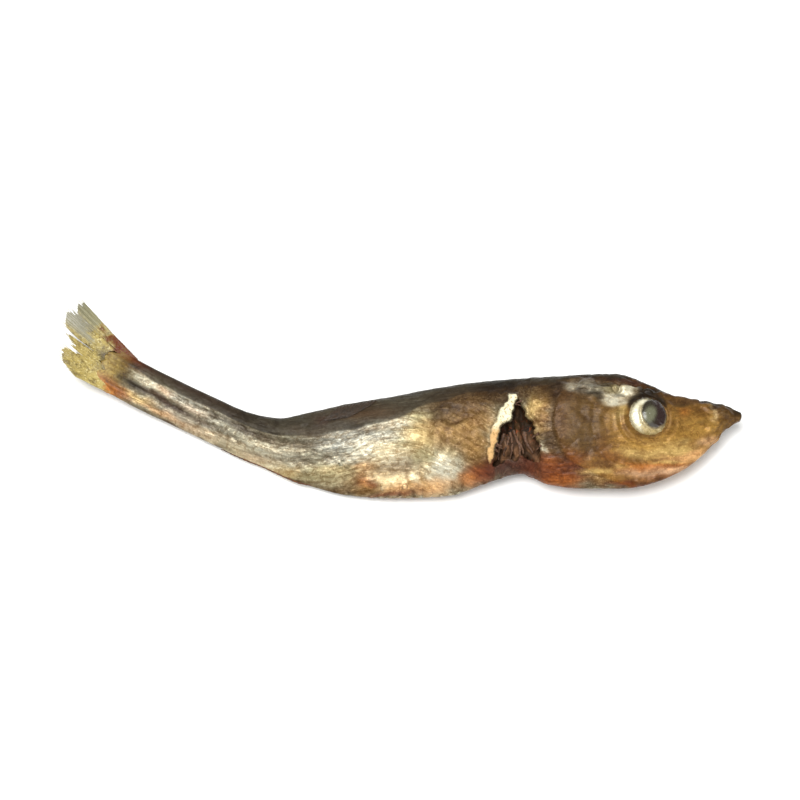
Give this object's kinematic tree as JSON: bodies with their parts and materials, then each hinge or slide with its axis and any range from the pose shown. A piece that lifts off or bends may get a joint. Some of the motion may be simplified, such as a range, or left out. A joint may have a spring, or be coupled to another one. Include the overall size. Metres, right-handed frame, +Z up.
{
  "type": "dried sprat",
  "caption": "Whole small dried fish lying on its side, with a large eye, a domed gill cover, a torn place behind it, a slender bent tail stalk and a ragged tail fin.",
  "frame": {"origin": "centre of the bounding box in X and Y, on the table at Z = 0", "axes": "+X towards the snout, +Y towards the back, +Z up out of the right flank"},
  "size_m": [0.0982, 0.0284, 0.0083],
  "materials": {
    "dried_skin": "silver and golden-brown dried fish skin, dark along the back, semi-gloss",
    "eye": "silver-white iris round a dark clouded pupil, glossy",
    "fin": "thin, stiff, yellow-brown fin skin over darker rays, satin"
  },
  "bodies": {
    "root": {"dried_sprat": "dried_skin"}
  },
  "joints": []
}
